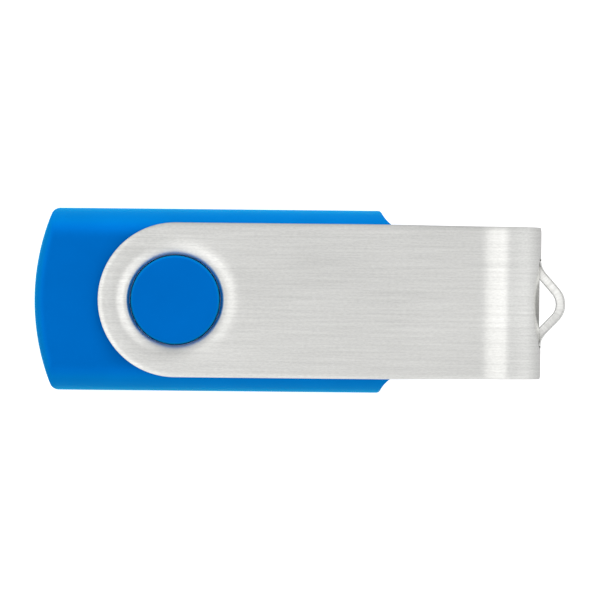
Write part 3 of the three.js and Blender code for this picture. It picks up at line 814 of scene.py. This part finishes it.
def cavity_rows(headings):
    """Rows up the inside of the wall, over the ceiling and up into the cored hub."""
    deepest = 2.5
    steps = 12

    def ceiling_row(share):
        row = []
        for a in headings:
            radius = HUB_CORE_RADIUS + (cavity_reach(a) - HUB_CORE_RADIUS) * share
            x, y = radius * math.cos(a), radius * math.sin(a)
            row.append((x, y, BODY_FACE - WALL - min(deepest, body_drop(x, y, WALL))))
        return row

    rows = [ceiling_row(1 - (1 - j / steps) ** 2) for j in range(steps, -1, -1)]
    foot = [(x, y, 0.0) for x, y, _ in rows[0]]
    return [foot, *rows, turned_row(headings, HUB_CORE_RADIUS, HUB_CORE_TOP)]


def shell_rows(side):
    """Rings of points over the outside of a shell and back over its inside, from axis to axis."""
    outline = body_outline()
    headings = [math.atan2(y, x) for x, y in outline]
    profile = hub_profile()
    rows = [turned_row(headings, radius, height) for radius, height in profile]
    rows += face_rows(outline, headings, profile[-1][0])
    rows += wall_rows(outline, rows[-1])
    rows += cavity_rows(headings)
    return [[(x, y, side * z) for x, y, z in row] for row in rows]


def build_shell(name, side, material):
    """One half of the body with its hub, grooved for the clip's dished rim and hollow inside."""
    rows = shell_rows(side)
    bm = bmesh.new()
    rings = [[bm.verts.new(place(*point)) for point in row] for row in rows]
    count = len(rings[0])
    for first, second in zip(rings, rings[1:]):
        for i in range(count):
            j = (i + 1) % count
            quad = [first[i], second[i], second[j], first[j]]
            bm.faces.new(quad if side > 0 else quad[::-1])
    for ring, height, up in ((rings[0], HUB_TOP, True), (rings[-1], HUB_CORE_TOP, False)):
        centre = bm.verts.new(place(0, 0, side * height))
        for i in range(count):
            j = (i + 1) % count
            triangle = [centre, ring[i], ring[j]]
            bm.faces.new(triangle if (side > 0) == up else triangle[::-1])
    add_piece(name + "_moulding", bm, [material], DRIVE, name)


# ---------------------------------------------------------------- plug


def plug_section():
    """The plug shell's outside section from one side of its seam round to the other, as (y, z, normal)."""
    steps = 6
    side_y, top_z = PLUG_HIGH.y - PLUG_CORNER, PLUG_HIGH.z - PLUG_CORNER
    points = [(y, -PLUG_HIGH.z, (0, -1)) for y in (PLUG_SEAM_HALF, *WINDOW_SIDES)]
    for centre_z, start in ((-top_z, -math.pi / 2), (top_z, 0.0)):
        for i in range(steps + 1):
            turn = start + math.pi / 2 * i / steps
            ny, nz = math.cos(turn), math.sin(turn)
            points.append((side_y + PLUG_CORNER * ny, centre_z + PLUG_CORNER * nz, (ny, nz)))
    points += [(y, PLUG_HIGH.z, (0, 1)) for y in (*WINDOW_SIDES[::-1], 0.0)]
    return points + [(-y, z, (-ny, nz)) for y, z, (ny, nz) in reversed(points[:-1])]


def in_window(x, first, second):
    """Whether the quad from this station on, between two points of the section, lies in a latch window."""
    flat = min(abs(first[1]), abs(second[1])) > PLUG_HIGH.z - 1e-3
    middle = abs(first[0] + second[0]) / 2
    return flat and x == WINDOW_ENDS[0] and WINDOW_SIDES[0] < middle < WINDOW_SIDES[1]


def add_solder_tabs(bm):
    """Two tabs that run back from the plug shell's sides to the board."""
    for side in (-1, 1):
        near, far = sorted((side * PLUG_HIGH.y, side * (PLUG_HIGH.y - PLUG_SHEET)))
        low = place(PLUG_LOW.x, near, TAB_BOTTOM)
        high = place(PLUG_REAR + PLUG_SHEET, far, TAB_TOP)
        for vert in bmesh.ops.create_cube(bm, size=1)["verts"]:
            vert.co = Vector(h if c > 0 else l for c, l, h in zip(vert.co, low, high))


def build_plug_shell(material):
    """Folded sheet with a seam underneath, four latch windows, an eased mouth and two solder tabs."""
    section = plug_section()
    eased_mouth = ((0.45, 0.0), (0.2, 0.04), (0.0, 0.12))
    stations = [(x, 0.0) for x in (PLUG_REAR, *WINDOW_ENDS)]
    stations += [(PLUG_HIGH.x - back, ease) for back, ease in eased_mouth]
    bm = bmesh.new()

    def ring(x, depth):
        return [bm.verts.new(place(x, y - ny * depth, z - nz * depth)) for y, z, (ny, nz) in section]

    outer = [ring(x, ease) for x, ease in stations]
    inner = [ring(x, PLUG_SHEET + 0.5 * ease) for x, ease in stations]
    partner = {}
    for row_out, row_in in zip(outer, inner):
        partner.update(zip(row_out, row_in))
    quads = []
    for (x, _), near, far in zip(stations, outer, outer[1:]):
        for i in range(len(section) - 1):
            if not in_window(x, section[i], section[i + 1]):
                quads.append((near[i], near[i + 1], far[i + 1], far[i]))
    for quad in quads:
        bm.faces.new(quad[::-1])
        bm.faces.new([partner[vert] for vert in quad])
    for a, b in open_edges(quads):
        bm.faces.new([a, b, partner[b], partner[a]])
    add_solder_tabs(bm)
    bmesh.ops.recalc_face_normals(bm, faces=bm.faces)
    soften(bm, sharp_edges(bm, math.radians(50)), 0.05)
    add_piece("plug_sleeve", bm, [material], DRIVE, "usb_plug_shell")


# ---------------------------------------------------------------- pieces that keep the CAD's shape


def softened_copy(node, suffix, materials, width, choose=None):
    """A copy of a CAD node with edges eased by a width in millimetres.

    choose gives the number of a face's material from the place of its centre in the node's box.
    """
    bm = bmesh.new()
    bm.from_mesh(frame["nodes"][node].data)
    bmesh.ops.remove_doubles(bm, verts=bm.verts, dist=1e-3 * MM)
    bmesh.ops.dissolve_limit(bm, angle_limit=math.radians(2), verts=bm.verts, edges=bm.edges)
    soften(bm, sharp_edges(bm, math.radians(40)), width)
    if choose:
        low, high = local_box(node)
        for face in bm.faces:
            centre = (face.calc_center_median() - PIVOT) / MM
            share = Vector((c - l) / (h - l) for c, l, h in zip(centre, low, high))
            face.material_index = choose(share)
    add_piece(node + suffix, bm, materials, DRIVE, node)


def square_chip(share):
    """Leads are outside the middle 7.04 of 9 millimetres, along and across."""
    return int(max(abs(share.x - 0.5), abs(share.y - 0.5)) > 3.52 / 9)


def long_chip(share):
    """Leads are outside the middle 18.44 of 20 millimetres."""
    return int(abs(share.x - 0.5) > 9.22 / 20)


def lamp_base(share):
    """The lamp's ceramic base is its lower part."""
    return int(share.z < 0.42)


def end_caps(node):
    """Chooses the end material by the piece's long axis."""
    low, high = local_box(node)
    axis = 0 if high.x - low.x > high.y - low.y else 1
    return lambda share: int(abs(share[axis] - 0.5) > 0.29)


# ---------------------------------------------------------------- camera, light and floor


CAMERA_DISTANCE = 0.600
VIEW_WIDTH = 64.35 * MM
CAMERA_FROM_PIVOT = (13.294 * MM, 0.111 * MM)
CAMERA_ROLL = math.radians(0.585)
LIGHT_DISTANCE = 0.9


def make_camera():
    data = bpy.data.cameras.new("camera")
    data.sensor_width = 36
    data.lens = data.sensor_width * CAMERA_DISTANCE / VIEW_WIDTH
    data.clip_start, data.clip_end = 0.01, 20
    camera = bpy.data.objects.new("camera", data)
    camera.location = PIVOT + Vector((*CAMERA_FROM_PIVOT, CAMERA_DISTANCE))
    camera.rotation_euler = (0, 0, CAMERA_ROLL)
    bpy.context.scene.collection.objects.link(camera)
    bpy.context.scene.camera = camera


def make_area_light(name, azimuth, elevation, width, height, power):
    """A soft rectangular light that faces the drive. Its width is level."""
    data = bpy.data.lights.new(name, "AREA")
    data.shape = "RECTANGLE"
    data.size = width
    data.size_y = height
    data.energy = power
    data.color = (1.0, 0.99, 0.975)
    light = bpy.data.objects.new(name, data)
    a, e = math.radians(azimuth), math.radians(elevation)
    direction = Vector((math.cos(a) * math.cos(e), math.sin(a) * math.cos(e), math.sin(e)))
    light.location = direction * LIGHT_DISTANCE
    light.rotation_mode = "QUATERNION"
    light.rotation_quaternion = direction.to_track_quat("Z", "Y")
    bpy.context.scene.collection.objects.link(light)
    return light


def make_world():
    """A pale room, brightest level with the drive and darker below it, overhead and towards +y."""
    world = bpy.data.worlds.new("studio")
    world.use_nodes = True
    tree = world.node_tree
    background = tree.nodes["Background"]
    coordinates = tree.nodes.new("ShaderNodeTexCoord")
    split = tree.nodes.new("ShaderNodeSeparateXYZ")
    tree.links.new(coordinates.outputs["Generated"], split.inputs["Vector"])

    def mapped(source, start, end, low, high):
        node = tree.nodes.new("ShaderNodeMapRange")
        for name, value in zip(("From Min", "From Max", "To Min", "To Max"), (start, end, low, high)):
            node.inputs[name].default_value = value
        tree.links.new(source, node.inputs["Value"])
        return node.outputs["Result"]

    def product(first, second):
        node = tree.nodes.new("ShaderNodeMath")
        node.operation = "MULTIPLY"
        tree.links.new(first, node.inputs[0])
        tree.links.new(second, node.inputs[1])
        return node.outputs["Value"]

    # Where along an axis the brightness changes, and from what to what
    fades = (
        ("Z", -0.9, 0.0, 0.6, 1.0),
        ("Z", 0.2, 0.7, 1.0, 0.88),
        ("Z", 0.7, 0.95, 1.0, 0.8),
        ("Y", -1.0, 0.0, 0.98, 1.0),
        ("Y", 0.1, 0.9, 1.0, 0.55),
    )
    factors = [mapped(split.outputs[axis], *values) for axis, *values in fades]
    brightness = factors[0]
    for factor in factors[1:]:
        brightness = product(brightness, factor)
    tree.links.new(brightness, background.inputs["Color"])
    bpy.context.scene.world = world


def make_floor():
    """A plain sheet six metres wide that the drive lies on."""
    bm = bmesh.new()
    bmesh.ops.create_grid(bm, x_segments=8, y_segments=8, size=3.0)
    mesh = bpy.data.meshes.new("floor")
    bm.to_mesh(mesh)
    bm.free()
    mesh.materials.append(white_floor())
    floor = bpy.data.objects.new("floor", mesh)
    floor.visible_glossy = False
    bpy.context.scene.collection.objects.link(floor)


# ---------------------------------------------------------------- assembly

make_camera()
make_world()
make_floor()
key = make_area_light("key", azimuth=90, elevation=18, width=0.7, height=0.5, power=5.6)
key.visible_glossy = False
make_area_light("strip_plug_end", azimuth=0, elevation=64.2, width=0.8, height=0.52, power=0.84)
make_area_light("strip_rear_end", azimuth=205, elevation=67, width=1.0, height=0.5, power=0.82)
make_area_light("strip_rear_high", azimuth=195, elevation=78, width=0.8, height=0.22, power=0.1)
bpy.context.scene.view_settings.view_transform = "Standard"

aluminium = brushed_aluminium()
blue = shell_plastic()
nickel = plated_steel("nickel_plate", (0.66, 0.655, 0.64), 0.24, 0.5)
gold = plated_steel("gold_plate", (0.83, 0.6, 0.24), 0.2, 0.4)
tin = plated_steel("tin_plate", (0.62, 0.62, 0.6), 0.35, 3.0)
black_plastic = moulded_plastic("tongue_black", (0.012, 0.012, 0.013), (0.022, 0.022, 0.024), 0.5, 0.12)
epoxy = moulded_plastic("chip_epoxy", (0.013, 0.013, 0.014), (0.024, 0.024, 0.026), 0.6, 0.05)
brown_ceramic = moulded_plastic("brown_ceramic", (0.26, 0.165, 0.085), (0.36, 0.24, 0.13), 0.4, 0.06)
black_glaze = moulded_plastic("black_glaze", (0.01, 0.01, 0.012), (0.02, 0.02, 0.022), 0.3, 0.05)
white_ceramic = moulded_plastic("white_ceramic", (0.66, 0.65, 0.61), (0.76, 0.75, 0.72), 0.5, 0.08)
mask_green = solder_mask()
resin = lamp_resin()

build_clip(aluminium)
build_shell("upper_shell", 1, blue)
build_shell("lower_shell", -1, blue)
build_plug_shell(nickel)
softened_copy("plug_tongue", "_insulator", [black_plastic], 0.08)
for contact in ("contact_vbus", "contact_data_minus", "contact_data_plus", "contact_ground"):
    softened_copy(contact, "_strip", [gold], 0.03)
softened_copy("circuit_board", "_panel", [mask_green], 0.05)
softened_copy("controller_chip", "_package", [epoxy, tin], 0.03, square_chip)
softened_copy("flash_chip", "_package", [epoxy, tin], 0.03, long_chip)
softened_copy("crystal_can", "_cover", [nickel], 0.12)
softened_copy("activity_led", "_lamp", [resin, white_ceramic], 0.04, lamp_base)
for node in sorted(frame["nodes"]):
    if node.startswith("capacitor"):
        softened_copy(node, "_block", [brown_ceramic, tin], 0.03, end_caps(node))
    if node.startswith("resistor"):
        softened_copy(node, "_block", [black_glaze, tin], 0.02, end_caps(node))

bpy.context.view_layer.update()
